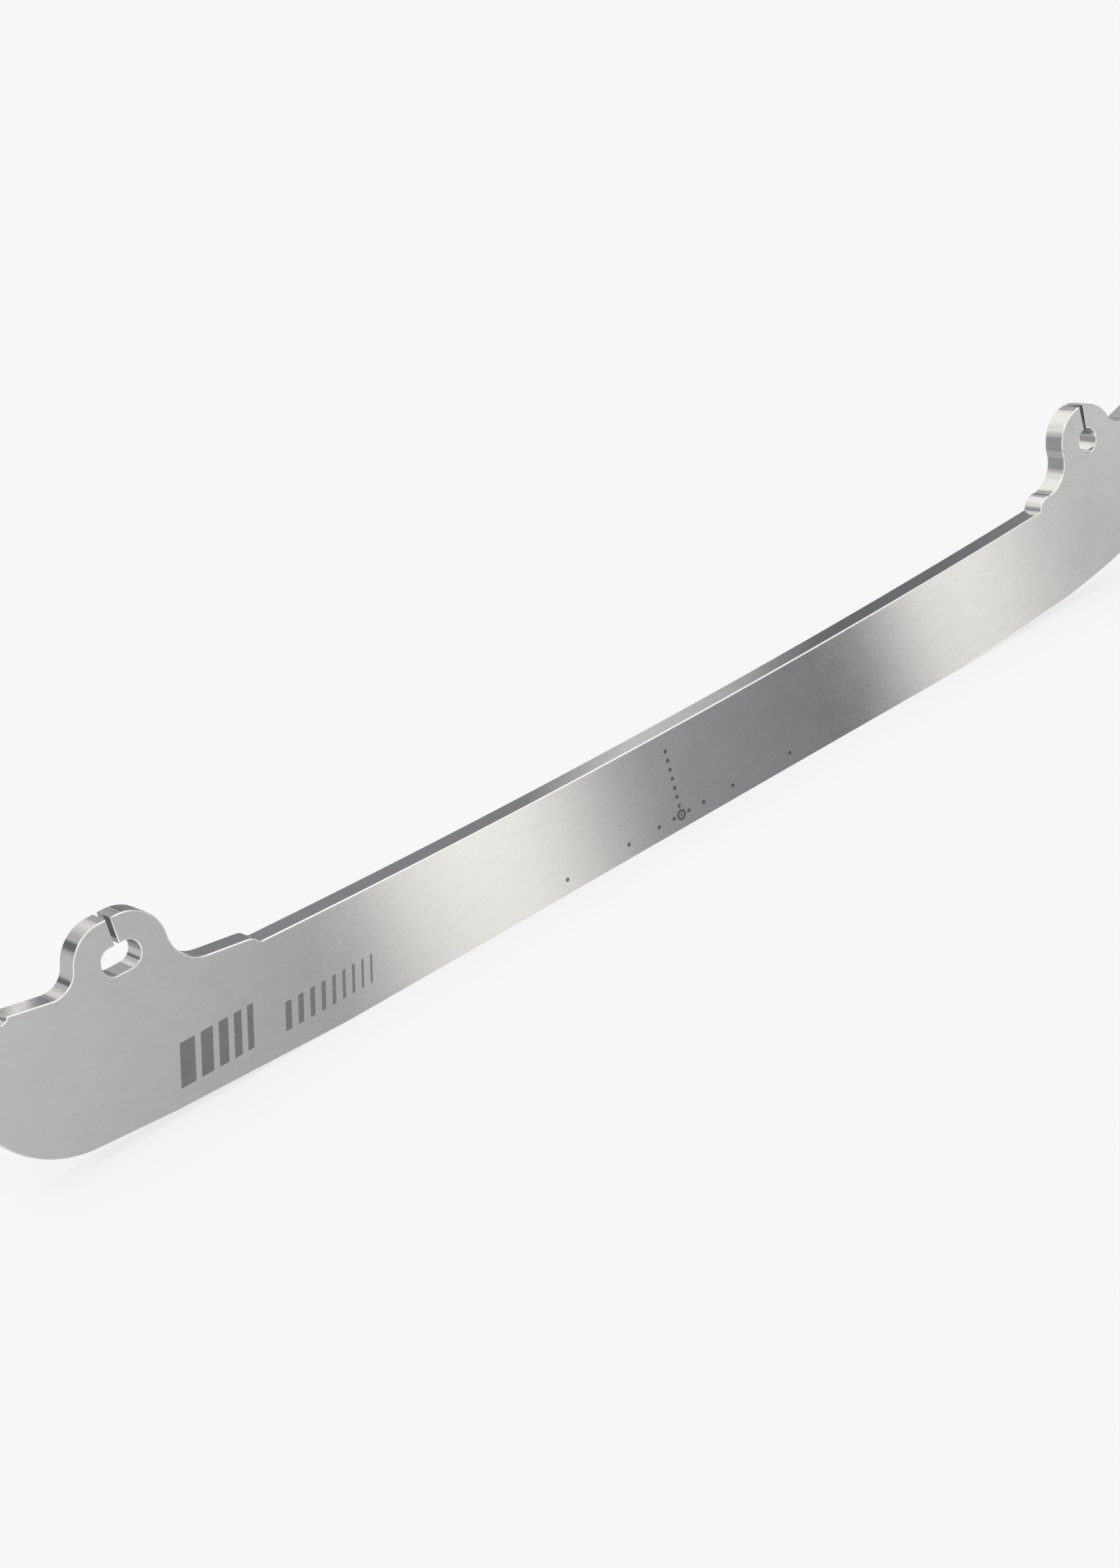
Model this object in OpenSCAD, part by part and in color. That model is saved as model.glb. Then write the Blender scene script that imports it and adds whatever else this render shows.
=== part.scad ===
// Hockey skate blade: one flat steel runner.
// Its running edge is below, and two split lugs above bolt it into the skate's holder.
// The profile is drawn in X and Z, with x measured from the centre mark: heel behind, toe in front.

/* [Steel] */
// Thickness of the steel
steel_t = 4; // [2.8:0.1:5]
// Centre mark to the heel end
heel_reach = 126; // [123:0.5:132]
// Centre mark to the toe end
toe_reach = 137; // [133:0.5:143]

/* [Running edge] */
// Flat edge behind the centre mark
flat_heel = 67; // [40:1:85]
// Flat edge in front of the centre mark
flat_toe = 63; // [40:1:80]
// Slope of the edge from the flat to the heel break, in degrees
heel_rise = 2.33; // [1:0.01:4]
// Centre mark to the heel break
heel_break = 97; // [88:1:104]
// Slope of the edge from the heel break to the heel corner, in degrees
heel_lift = 4.45; // [4.1:0.05:8]
// Radius of the heel corner
heel_corner_r = 17.2; // [10:0.1:19]
// Slope of the edge from the flat to the toe break, in degrees
toe_rise = 3.67; // [1:0.01:5]
// Centre mark to the toe break
toe_break = 90; // [84:1:96]
// Slope at which the toe sweep starts, in degrees
toe_lift = 6; // [5:0.1:9]
// Radius of the toe sweep
toe_sweep_r = 147; // [100:1:200]
// Centre mark to the end of the toe sweep, where the tip curve starts
toe_sweep_x = 108; // [102:0.5:113]
// Radius of the nose at the toe's tip
nose_r = 4; // [2:0.1:5]

/* [Top edge] */
// Height of the waist at its lowest point
waist_h = 16.5; // [15.5:0.1:17.4]
// Radius of the waist's long hollow curve
waist_r = 1800; // [1500:10:3000]
// Height of the heel shoulder at its front end
shoulder_h = 19.42; // [19.1:0.02:20]
// Slope of the heel shoulder, in degrees
shoulder_a = 8.2; // [5:0.1:10]
// Centre mark to the front end of the heel shoulder
shoulder_x = 78.2; // [74:0.2:81]
// Radius of the shoulder step's top
step_top_r = 1.9; // [1.5:0.1:2.4]
// Radius of the shoulder step's foot
step_foot_r = 1.1; // [0.6:0.1:1.6]
// Height of the toe step
toe_step_h = 20.55; // [20:0.05:21.2]
// Radius of the toe step's rounded corner
toe_step_r = 2.7; // [2.2:0.1:3.2]
// Height of the heel end, before its corner is rounded
heel_end_h = 28.4; // [27:0.1:29.5]
// Slope of the heel's top edge, in degrees
heel_top_a = 10.4; // [6:0.1:13]
// Radius of the heel's top corner
heel_top_r = 3; // [1:0.1:5]
// Height of the toe end, before its nose is rounded
toe_end_h = 33.2; // [32:0.1:34]
// Slope of the toe's top edge, in degrees
toe_top_a = 14.6; // [12:0.1:17]

/* [Lugs] */
// Height of both lugs' hole centres
lug_h = 26.25; // [25.6:0.05:27]
// Radius of the toe lug
toe_lug_r = 6.35; // [5.9:0.05:6.8]
// Radius of the heel lug's two round ends
heel_lug_r = 6.2; // [5.9:0.05:6.6]
// Centre mark to the toe lug's hole
toe_lug_x = 102.65; // [101:0.05:104]
// Centre mark to the heel lug's slot
heel_lug_x = 97.6; // [96:0.05:99]
// How much longer the heel lug is than a round one
heel_lug_l = 2.8; // [2:0.1:3.6]
// Radius of the toe lug's hole, and half the width of the heel lug's slot
hole_r = 2.1; // [1.6:0.05:2.6]
// Travel of a bolt in the heel lug's slot
slot_l = 2.2; // [1:0.1:3]
// Width of the slits that run from the holes to the lugs' tops
slit_w = 0.72; // [0.4:0.02:1]
// Radius of the hollows on the lugs' outer sides
outer_fillet_r = 3.65; // [3:0.05:4.2]
// Radius of the hollow between the heel lug and the shoulder
heel_fillet_r = 5.8; // [5:0.1:6.4]
// Radius of the hollow between the toe step and the toe lug
toe_fillet_r = 5.1; // [4.4:0.1:5.8]

/* [Heel notch] */
// Centre mark to the notch in the heel's top edge
notch_x = 117; // [115.5:0.1:119]
// Radius of the notch
notch_r = 0.9; // [0.5:0.05:1.4]

/* [Hidden] */
$fn = 96;
// Facets of the long, shallow curves
fine = 720;
// How far a cutting outline stands outside the steel
spare = 2;
// How far a round piece passes the piece that it is tangent to, so that they cross and join
seam = 0.003;

// A unit vector at the angle a
function way(a) = [cos(a), sin(a)];
// The vector v at unit length
function unit(v) = v / norm(v);
// The height at x of the line through p at the angle a
function height(p, a, x) = p.y + (x - p.x) * tan(a);
// Where the line through p at the angle a crosses the circle of centre c and radius r
function line_circle(p, a, c, r, side) =
    let (along = (p - c) * way(a), past = (p - c) * (p - c) - r * r)
    p + way(a) * (side * sqrt(along * along - past) - along);
// Where two circles cross, on the left of the way from c1 to c2 for side 1
function circles(c1, r1, c2, r2, side) =
    let (d = norm(c2 - c1), u = unit(c2 - c1), a = (r1 * r1 - r2 * r2 + d * d) / (2 * d))
    c1 + a * u + side * sqrt(r1 * r1 - a * a) * [-u.y, u.x];

// The model's origin is under the middle of its length
mid_x = (toe_reach - heel_reach) / 2;

// Running edge, heel to toe
heel_break_p = [-heel_break, (heel_break - flat_heel) * tan(heel_rise)];
toe_break_p = [toe_break, (toe_break - flat_toe) * tan(toe_rise)];
corner_c = [
    heel_corner_r - heel_reach,
    height(heel_break_p, -heel_lift, heel_corner_r - heel_reach) + heel_corner_r / cos(heel_lift)
];

// Toe sweep, tip curve and nose; the tip curve leaves the sweep and meets the nose without a corner
sweep_c = toe_break_p + toe_sweep_r * way(90 + toe_lift);
sweep_a = asin((toe_sweep_x - sweep_c.x) / toe_sweep_r);
sweep_p = sweep_c + toe_sweep_r * way(sweep_a - 90);
toe_end_p = [toe_reach, toe_end_h];
nose_c = [toe_reach - nose_r, height(toe_end_p, toe_top_a, toe_reach - nose_r) - nose_r / cos(toe_top_a)];
to_nose = nose_c - sweep_p;
inward = way(sweep_a + 90);
tip_r = (to_nose * to_nose - nose_r * nose_r) / (2 * (to_nose * inward - nose_r));
tip_c = sweep_p + tip_r * inward;
nose_way = unit(nose_c - tip_c);

// Lugs
toe_lug = [toe_lug_x, lug_h];
heel_lug_back = [-heel_lug_x - heel_lug_l / 2, lug_h];
heel_lug_front = [-heel_lug_x + heel_lug_l / 2, lug_h];

// Heel top edge, its corner and the hollow behind the lug
heel_end_p = [-heel_reach, heel_end_h];
heel_top_c = [
    heel_top_r - heel_reach,
    height(heel_end_p, -heel_top_a, heel_top_r - heel_reach) - heel_top_r / cos(heel_top_a)
];
back_c = line_circle(
    heel_end_p + outer_fillet_r * way(90 - heel_top_a), -heel_top_a,
    heel_lug_back, heel_lug_r + outer_fillet_r, -1
);
back_p = back_c - outer_fillet_r * way(90 - heel_top_a);

// Shoulder, its step and the hollow in front of the heel lug
shoulder_p = [-shoulder_x, shoulder_h];
front_c = line_circle(
    shoulder_p + heel_fillet_r * way(90 - shoulder_a), -shoulder_a,
    heel_lug_front, heel_lug_r + heel_fillet_r, 1
);
front_p = front_c - heel_fillet_r * way(90 - shoulder_a);
waist_x = (toe_lug_x - heel_lug_x) / 2;
waist_c = [waist_x, waist_h + waist_r];
step_c = shoulder_p - step_top_r * way(90 - shoulder_a);
foot_c = circles(step_c, step_top_r + step_foot_r, waist_c, waist_r - step_foot_r, -1);
foot_p = foot_c + step_foot_r * unit(foot_c - waist_c);
step_p = step_c + step_top_r * unit(foot_c - step_c);

// Toe step and the hollows on both sides of the toe lug
toe_fillet_z = toe_step_h + toe_fillet_r;
rise_c = line_circle([0, toe_fillet_z], 0, toe_lug, toe_lug_r + toe_fillet_r, -1);
toe_step_c = [rise_c.x, toe_step_h - toe_step_r];
dip_c = line_circle(
    toe_end_p + outer_fillet_r * way(90 + toe_top_a), toe_top_a,
    toe_lug, toe_lug_r + outer_fillet_r, 1
);
dip_p = dip_c - outer_fillet_r * way(90 + toe_top_a);

notch_p = [-notch_x, height(heel_end_p, -heel_top_a, -notch_x)];

// A round disc of the profile
module disc(c, r, fn = $fn) translate(c) circle(r, $fn = fn);

// The steel inside the straight edges, which run on past the round corners; it reaches the hollows' centres
module web() {
    polygon([
        [-heel_reach, height(heel_break_p, -heel_lift, -heel_reach)],
        heel_break_p, [-flat_heel, 0], [flat_toe, 0],
        [toe_reach + spare, height(toe_break_p, toe_rise, toe_reach + spare)],
        nose_c + (nose_r + spare) * nose_way, nose_c, nose_c + nose_r * way(90 + toe_top_a),
        dip_p, dip_c, toe_lug, rise_c, toe_step_c + [0, toe_step_r / 2],
        foot_p, foot_c, step_p, shoulder_p,
        front_p, front_c, heel_lug_front, heel_lug_back, back_c, back_p,
        heel_top_c + heel_top_r * way(90 - heel_top_a), heel_top_c - [heel_top_r, 0]
    ]);
}

// The round hollows in the top edge
module hollows() {
    disc(back_c, outer_fillet_r + seam);
    disc(front_c, heel_fillet_r + seam);
    disc(foot_c, step_foot_r + seam);
    disc(rise_c, toe_fillet_r + seam);
    disc(dip_c, outer_fillet_r + seam);
}

// The long waist between the two steps
module waist() {
    waist_end = toe_step_c.x - toe_step_r / 2;
    intersection() {
        translate([waist_x, waist_h]) disc([0, waist_r], waist_r, 4 * fine);
        polygon([
            [foot_p.x, waist_h / 2], [waist_end, waist_h / 2],
            [waist_end, toe_step_h], [foot_p.x, toe_step_h]
        ]);
    }
}

// What the large rounded corner leaves off the heel
module heel_corner() {
    reach = heel_corner_r + spare;
    difference() {
        polygon([
            corner_c, corner_c - [reach, 0], corner_c - [reach, reach],
            corner_c + reach * way(-90 - heel_lift)
        ]);
        disc(corner_c, heel_corner_r + seam, fine);
    }
}

// What the toe sweep leaves off in front of the toe break
module toe_sweep() {
    difference() {
        translate([toe_break - spare, -spare])
            square([toe_reach - toe_break + 3 * spare, toe_end_h]);
        disc(sweep_c, toe_sweep_r, 2 * fine);
    }
}

// What the tip curve leaves off between the toe sweep and the nose
module tip_curve() {
    difference() {
        polygon([
            nose_c, sweep_p, sweep_p - spare * inward,
            [toe_reach + 2 * spare, 0], [toe_reach + 2 * spare, toe_end_h]
        ]);
        disc(tip_c, tip_r + seam, fine);
    }
}

// The two lugs
module lugs() {
    disc(toe_lug, toe_lug_r);
    disc(heel_lug_back, heel_lug_r);
    disc(heel_lug_front, heel_lug_r);
    translate(heel_lug_back) square([heel_lug_l, heel_lug_r - seam]);
}

// A slit from a hole at c up through the top of a lug of radius r
module slit(c, r) translate(c - [slit_w / 2, 0]) square([slit_w, r + spare]);

// The toe lug's round hole, the heel lug's slot, their slits and the notch
module openings() {
    disc(toe_lug, hole_r);
    slit(toe_lug, toe_lug_r);
    for (end = [-1, 1]) disc([-heel_lug_x + end * slot_l / 2, lug_h], hole_r);
    translate([-heel_lug_x, lug_h]) square([slot_l, 2 * (hole_r - seam)], center = true);
    slit([-heel_lug_x, lug_h], heel_lug_r);
    disc(notch_p, notch_r);
}

// The runner's whole outline
module profile() {
    difference() {
        union() {
            difference() {
                web();
                hollows();
                waist();
                heel_corner();
                toe_sweep();
                tip_curve();
            }
            disc(heel_top_c, heel_top_r + seam);
            disc(step_c, step_top_r + seam);
            disc(toe_step_c, toe_step_r);
            disc(nose_c, nose_r + 2 * seam);
            lugs();
        }
        openings();
    }
}

// The steel runner, standing on its running edge with its toe towards +X
module runner() {
    color([0.72, 0.72, 0.73])
        translate([-mid_x, 0, 0])
            rotate([90, 0, 0])
                linear_extrude(height = steel_t, center = true)
                    profile();
}

runner();
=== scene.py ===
"""Looks of a hockey skate blade: its satin ground steel, the dark marks on it, and a plain pale studio."""

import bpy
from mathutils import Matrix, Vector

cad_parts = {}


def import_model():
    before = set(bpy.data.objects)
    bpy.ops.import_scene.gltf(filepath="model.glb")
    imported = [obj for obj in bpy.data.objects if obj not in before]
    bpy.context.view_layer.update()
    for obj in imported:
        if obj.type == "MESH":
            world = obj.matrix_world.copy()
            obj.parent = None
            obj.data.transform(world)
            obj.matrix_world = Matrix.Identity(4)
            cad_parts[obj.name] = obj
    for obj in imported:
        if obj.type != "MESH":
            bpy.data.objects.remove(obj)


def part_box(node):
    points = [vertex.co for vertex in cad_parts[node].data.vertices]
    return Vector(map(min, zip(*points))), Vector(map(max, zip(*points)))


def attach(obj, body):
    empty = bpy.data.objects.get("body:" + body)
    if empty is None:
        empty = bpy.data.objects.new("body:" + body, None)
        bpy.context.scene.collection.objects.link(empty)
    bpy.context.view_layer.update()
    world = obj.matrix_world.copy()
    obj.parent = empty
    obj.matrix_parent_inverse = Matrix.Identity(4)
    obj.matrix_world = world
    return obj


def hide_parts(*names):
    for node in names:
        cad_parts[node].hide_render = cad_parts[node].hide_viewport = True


bl_info = {
    "name": "Hockey skate blade",
    "version": (1, 0, 0),
    "blender": (4, 5, 0),
    "location": "View3D > Sidebar > Skate blade",
    "description": "Builds the steel runner of a hockey skate, its marks and a studio round it",
    "category": "Object",
}

import bpy
import numpy as np
from bpy.props import FloatProperty, FloatVectorProperty, IntProperty, PointerProperty
from bpy.types import Operator, Panel, PropertyGroup

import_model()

MM = 0.001
LOW, HIGH = (np.array(corner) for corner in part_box("runner"))
STEEL_T = HIGH[1] - LOW[1]

# Largest turn of one facet of a curve, and the largest gap between a facet and its curve in metres
FACET_TURN = np.radians(4.0)
FACET_GAP = 0.0012 * MM

# Rows of points across each rounded rim, and how far an arc's points keep from a sharp corner, in rim radii
RIM_ROWS = 5
CORNER_CLEAR = 1.3

# Width of the flat top of a burnt dot or bar, and of the ring's line, as a share of the width below it
STUD_TOP = 0.97
RING_TOP = 0.84

# Steps of the scale from the ring to each dot, along the blade and above the ring
ROW_STEPS = (-15, -7, -3, -1, 1, 3, 7, 15)
COLUMN_STEPS = range(1, 8)


def length(name, text, mm):
    """A length property, given in millimetres."""
    return FloatProperty(name=name, description=text, default=mm * MM, min=0.0, unit="LENGTH", precision=5)


def slope(name, text, degrees):
    """An angle property, given in degrees."""
    angle = np.radians(degrees)
    return FloatProperty(name=name, description=text, default=angle, subtype="ANGLE", unit="ROTATION")


def share(name, text, value):
    """A number from 0 to 1."""
    return FloatProperty(name=name, description=text, default=value, min=0.0, max=1.0, subtype="FACTOR")


def tint(name, text, rgb):
    """A colour property in linear red, green and blue."""
    return FloatVectorProperty(
        name=name, description=text, default=rgb, size=3, min=0.0, max=1.0, subtype="COLOR"
    )


def number(name, text, value):
    """A whole number of like things."""
    return IntProperty(name=name, description=text, default=value, min=1)


class RunnerSizes(PropertyGroup):
    """Lengths and slopes of the runner; x is measured from the centre mark, heights from the flat edge"""

    thickness: FloatProperty(
        name="Thickness",
        description="Thickness of the steel",
        default=STEEL_T,
        min=0.0,
        unit="LENGTH",
        precision=5,
    )
    heel_reach: length("Heel reach", "Centre mark to the heel end", 126)
    toe_reach: length("Toe reach", "Centre mark to the toe end", 137)
    flat_heel: length("Flat behind", "Flat edge behind the centre mark", 67)
    flat_toe: length("Flat in front", "Flat edge in front of the centre mark", 63)
    heel_rise: slope("Heel rise", "Slope of the edge from the flat to the heel break", 2.33)
    heel_break: length("Heel break", "Centre mark to the heel break", 97)
    heel_lift: slope("Heel lift", "Slope of the edge from the heel break to the heel corner", 4.45)
    heel_corner_r: length("Heel corner", "Radius of the heel corner", 17.2)
    toe_rise: slope("Toe rise", "Slope of the edge from the flat to the toe break", 3.67)
    toe_break: length("Toe break", "Centre mark to the toe break", 90)
    toe_lift: slope("Toe lift", "Slope at which the toe sweep starts", 6)
    toe_sweep_r: length("Toe sweep", "Radius of the toe sweep", 147)
    toe_sweep_x: length("Toe sweep end", "Centre mark to the end of the toe sweep", 108)
    nose_r: length("Nose", "Radius of the nose at the toe's tip", 4)
    waist_h: length("Waist height", "Height of the waist at its lowest point", 16.5)
    waist_r: length("Waist curve", "Radius of the waist's long hollow curve", 1800)
    shoulder_h: length("Shoulder height", "Height of the heel shoulder at its front end", 19.42)
    shoulder_a: slope("Shoulder slope", "Slope of the heel shoulder", 8.2)
    shoulder_x: length("Shoulder end", "Centre mark to the front end of the heel shoulder", 78.2)
    step_top_r: length("Step top", "Radius of the shoulder step's top", 1.9)
    step_foot_r: length("Step foot", "Radius of the shoulder step's foot", 1.1)
    toe_step_h: length("Toe step height", "Height of the toe step", 20.55)
    toe_step_r: length("Toe step", "Radius of the toe step's rounded corner", 2.7)
    heel_end_h: length("Heel end height", "Height of the heel end, before its corner is rounded", 28.4)
    heel_top_a: slope("Heel top slope", "Slope of the heel's top edge", 10.4)
    heel_top_r: length("Heel top corner", "Radius of the heel's top corner", 3)
    toe_end_h: length("Toe end height", "Height of the toe end, before its nose is rounded", 33.2)
    toe_top_a: slope("Toe top slope", "Slope of the toe's top edge", 14.6)
    lug_h: length("Lug height", "Height of both lugs' hole centres", 26.25)
    toe_lug_r: length("Toe lug", "Radius of the toe lug", 6.35)
    heel_lug_r: length("Heel lug", "Radius of the heel lug's two round ends", 6.2)
    toe_lug_x: length("Toe lug place", "Centre mark to the toe lug's hole", 102.65)
    heel_lug_x: length("Heel lug place", "Centre mark to the heel lug's slot", 97.6)
    heel_lug_l: length("Heel lug length", "How much longer the heel lug is than a round one", 2.8)
    hole_r: length("Hole", "Radius of the toe lug's hole, and half the width of the heel lug's slot", 2.1)
    slot_l: length("Slot travel", "Travel of a bolt in the heel lug's slot", 2.2)
    slit_w: length("Slit", "Width of the slits that run from the holes to the lugs' tops", 0.72)
    outer_fillet_r: length("Outer hollows", "Radius of the hollows on the lugs' outer sides", 3.65)
    heel_fillet_r: length("Heel hollow", "Radius of the hollow between the heel lug and the shoulder", 5.8)
    toe_fillet_r: length("Toe hollow", "Radius of the hollow between the toe step and the toe lug", 5.1)
    notch_x: length("Notch place", "Centre mark to the notch in the heel's top edge", 117)
    notch_r: length("Notch", "Radius of the notch", 0.9)
    rim_r: length("Rounded rim", "Radius of the rounded rim between the faces and the top walls", 0.21)
    slit_rim_r: length("Slit rim", "Radius of the rim along the slits", 0.08)
    edge_r: length("Keen rim", "Radius of the rim along the running edge", 0.05)
    wear_w: length("Wear", "How far from the rim the walls are rubbed brighter", 0.5)


class MarkSizes(PropertyGroup):
    """Sizes of the scale and the bars burnt into the near face"""

    pitch: length("Pitch", "One step of the scale", 1.5875)
    height: length("Height", "Height of the row of dots", 2.27)
    dot_r: length("Dot", "Radius of a dot", 0.35)
    ring_r: length("Ring", "Middle radius of the ring round the centre dot", 0.68)
    ring_w: length("Ring line", "Width of the ring's line", 0.46)
    pip_r: length("Centre dot", "Radius of the dot inside the ring", 0.22)
    bar_lean: slope("Bar lean", "How far the bars lean towards the toe", 17)
    bold_count: number("Bold bars", "How many bold bars there are", 5)
    bold_x: length("Bold bars' place", "Centre mark to the first bold bar", 95.5)
    bold_z: length("Bold bars' foot", "Height of the bold bars' lower ends", 3.9)
    bold_h: length("Bold bars' height", "Height of the bold bars", 6.4)
    bold_w: length("Bold bar", "Width of the first and boldest bar", 2.6)
    bold_gap: length("Bold bars' gap", "Gap between two bold bars", 1)
    bold_taper: share("Bold bars' taper", "Width of a bold bar as a share of the one before it", 0.8)
    slim_count: number("Slim bars", "How many slim bars there are", 9)
    slim_x: length("Slim bars' place", "Centre mark to the first slim bar", 77.2)
    slim_z: length("Slim bars' foot", "Height of the slim bars' lower ends", 3.6)
    slim_h: length("Slim bars' height", "Height of the slim bars", 4.2)
    slim_w: length("Slim bar", "Width of the first slim bar", 1.1)
    slim_gap: length("Slim bars' gap", "Gap between two slim bars", 1.2)
    slim_taper: share("Slim bars' taper", "Width of a slim bar as a share of the one before it", 0.88)
    proud: length("Proud", "How far the burnt layer stands off the steel", 0.006)
    depth: length("Depth", "How far the burnt layer reaches into the steel", 0.04)
    sides: IntProperty(name="Sides", description="Corners of a dot's outline", default=28, min=8, max=96)


class Finish(PropertyGroup):
    """Colours of the steel and the marks"""

    steel: tint("Steel", "Colour of the ground steel", (0.722, 0.72, 0.722))
    burnt: tint("Burnt scale", "Colour of the burnt dots and ring", (0.2, 0.2, 0.206))
    pale_burnt: tint("Burnt bars", "Colour of the more lightly burnt bars", (0.29, 0.29, 0.296))
    face_rough: share("Face roughness", "Roughness of the satin faces", 0.08)
    wall_rough: share("Wall roughness", "Roughness of the cut walls", 0.05)
    # The rim's colour is paler than the steel's: the rims' brightness is partly their polish and partly a painted
    # highlight along every edge.
    rim: tint("Rim", "Colour of the polished rim", (0.92, 0.92, 0.92))
    rim_rough: share("Rim roughness", "Roughness of the rounded rim", 0.18)


class Studio(PropertyGroup):
    """The camera and the light"""

    lens: FloatProperty(name="Lens", description="Focal length of the camera", default=66.476, unit="CAMERA")
    place: FloatVectorProperty(
        name="Camera place",
        description="Where the camera stands",
        default=(-0.247118, -0.348627, 0.182608),
        size=3,
        subtype="TRANSLATION",
        unit="LENGTH",
    )
    turn: FloatVectorProperty(
        name="Camera turn",
        description="How the camera is turned",
        default=tuple(np.radians((67.3571, 14.2600, -38.3998))),
        size=3,
        subtype="EULER",
        unit="ROTATION",
    )
    floor: tint("Floor", "Colour of the floor", (0.93, 0.93, 0.93))
    glow: tint("Floor glow", "Colour that evens out the floor as the camera sees it", (0.963, 0.966, 0.974))
    glow_share: share("Glow share", "How much of the floor's look is its glow", 0.75)
    backdrop: tint("Backdrop", "Colour beyond the floor", (0.93, 0.93, 0.93))
    floor_w: FloatProperty(name="Floor width", description="Width of the floor", default=16.0, unit="LENGTH")


def way(angle):
    """Unit vectors at the given angles: the cosine and the sine of each."""
    return np.stack([np.cos(angle), np.sin(angle)], axis=-1)


def unit(v):
    """The vector divided by its own length."""
    return v / np.linalg.norm(v)


def bearing(v):
    """The angle of a vector, from its two components."""
    return np.arctan2(v[1], v[0])


def height(p, angle, x):
    """Height at x of the line through p: the height of p plus the way along x times the tangent of the slope."""
    return p[1] + (x - p[0]) * np.tan(angle)


def line_circle(p, angle, c, r, side):
    """Where a line crosses a circle: the root of the squared distance to c, less r squared, along the line."""
    along = (p - c) @ way(angle)
    past = (p - c) @ (p - c) - r * r
    return p + way(angle) * (side * np.sqrt(along * along - past) - along)


def circles(c1, r1, c2, r2, side):
    """Where two circles cross: a step along the line of centres, then half the common chord to one side of it."""
    d = np.linalg.norm(c2 - c1)
    u = (c2 - c1) / d
    a = (r1 * r1 - r2 * r2 + d * d) / (2 * d)
    return c1 + a * u + side * np.sqrt(r1 * r1 - a * a) * np.array([-u[1], u[0]])


def line(p, q, rim):
    """A straight stretch from p to q; its outward normal is its direction turned right by a quarter."""
    d = unit(q - p)
    normal = np.array([d[1], -d[0]])
    return np.array([p, q]), np.array([normal, normal]), np.broadcast_to(rim, 2)


def arc(c, r, start, end, rim, clear=(0.0, 0.0)):
    """An arc from one angle to another: centre plus radius times the unit vectors at evenly spaced angles.

    Growing angles run round a bulge, whose outward normals leave the centre; falling ones run round a hollow,
    whose outward normals point at it. No point but the ends lies nearer to an end than its clear length, so
    that the rim's inner line doesn't fold over at a sharp corner.
    """
    turn = min(FACET_TURN, np.sqrt(8 * FACET_GAP / r))
    angles = np.linspace(start, end, max(3, int(np.ceil(abs(end - start) / turn)) + 1))
    kept = (np.abs(angles - start) * r >= clear[0]) & (np.abs(angles - end) * r >= clear[1])
    kept[[0, -1]] = True
    angles = angles[kept]
    bow = np.sign(end - start)
    passed = (angles - start) / (end - start)
    first, last = np.broadcast_to(rim, 2)
    return c + r * way(angles), bow * way(angles), first + (last - first) * passed


def after(angle, start):
    """The angle moved by whole turns to the first value above start."""
    return start + (angle - start) % (2 * np.pi)


def before(angle, start):
    """The angle moved by whole turns to the first value below start."""
    return start - (start - angle) % (2 * np.pi)


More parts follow.
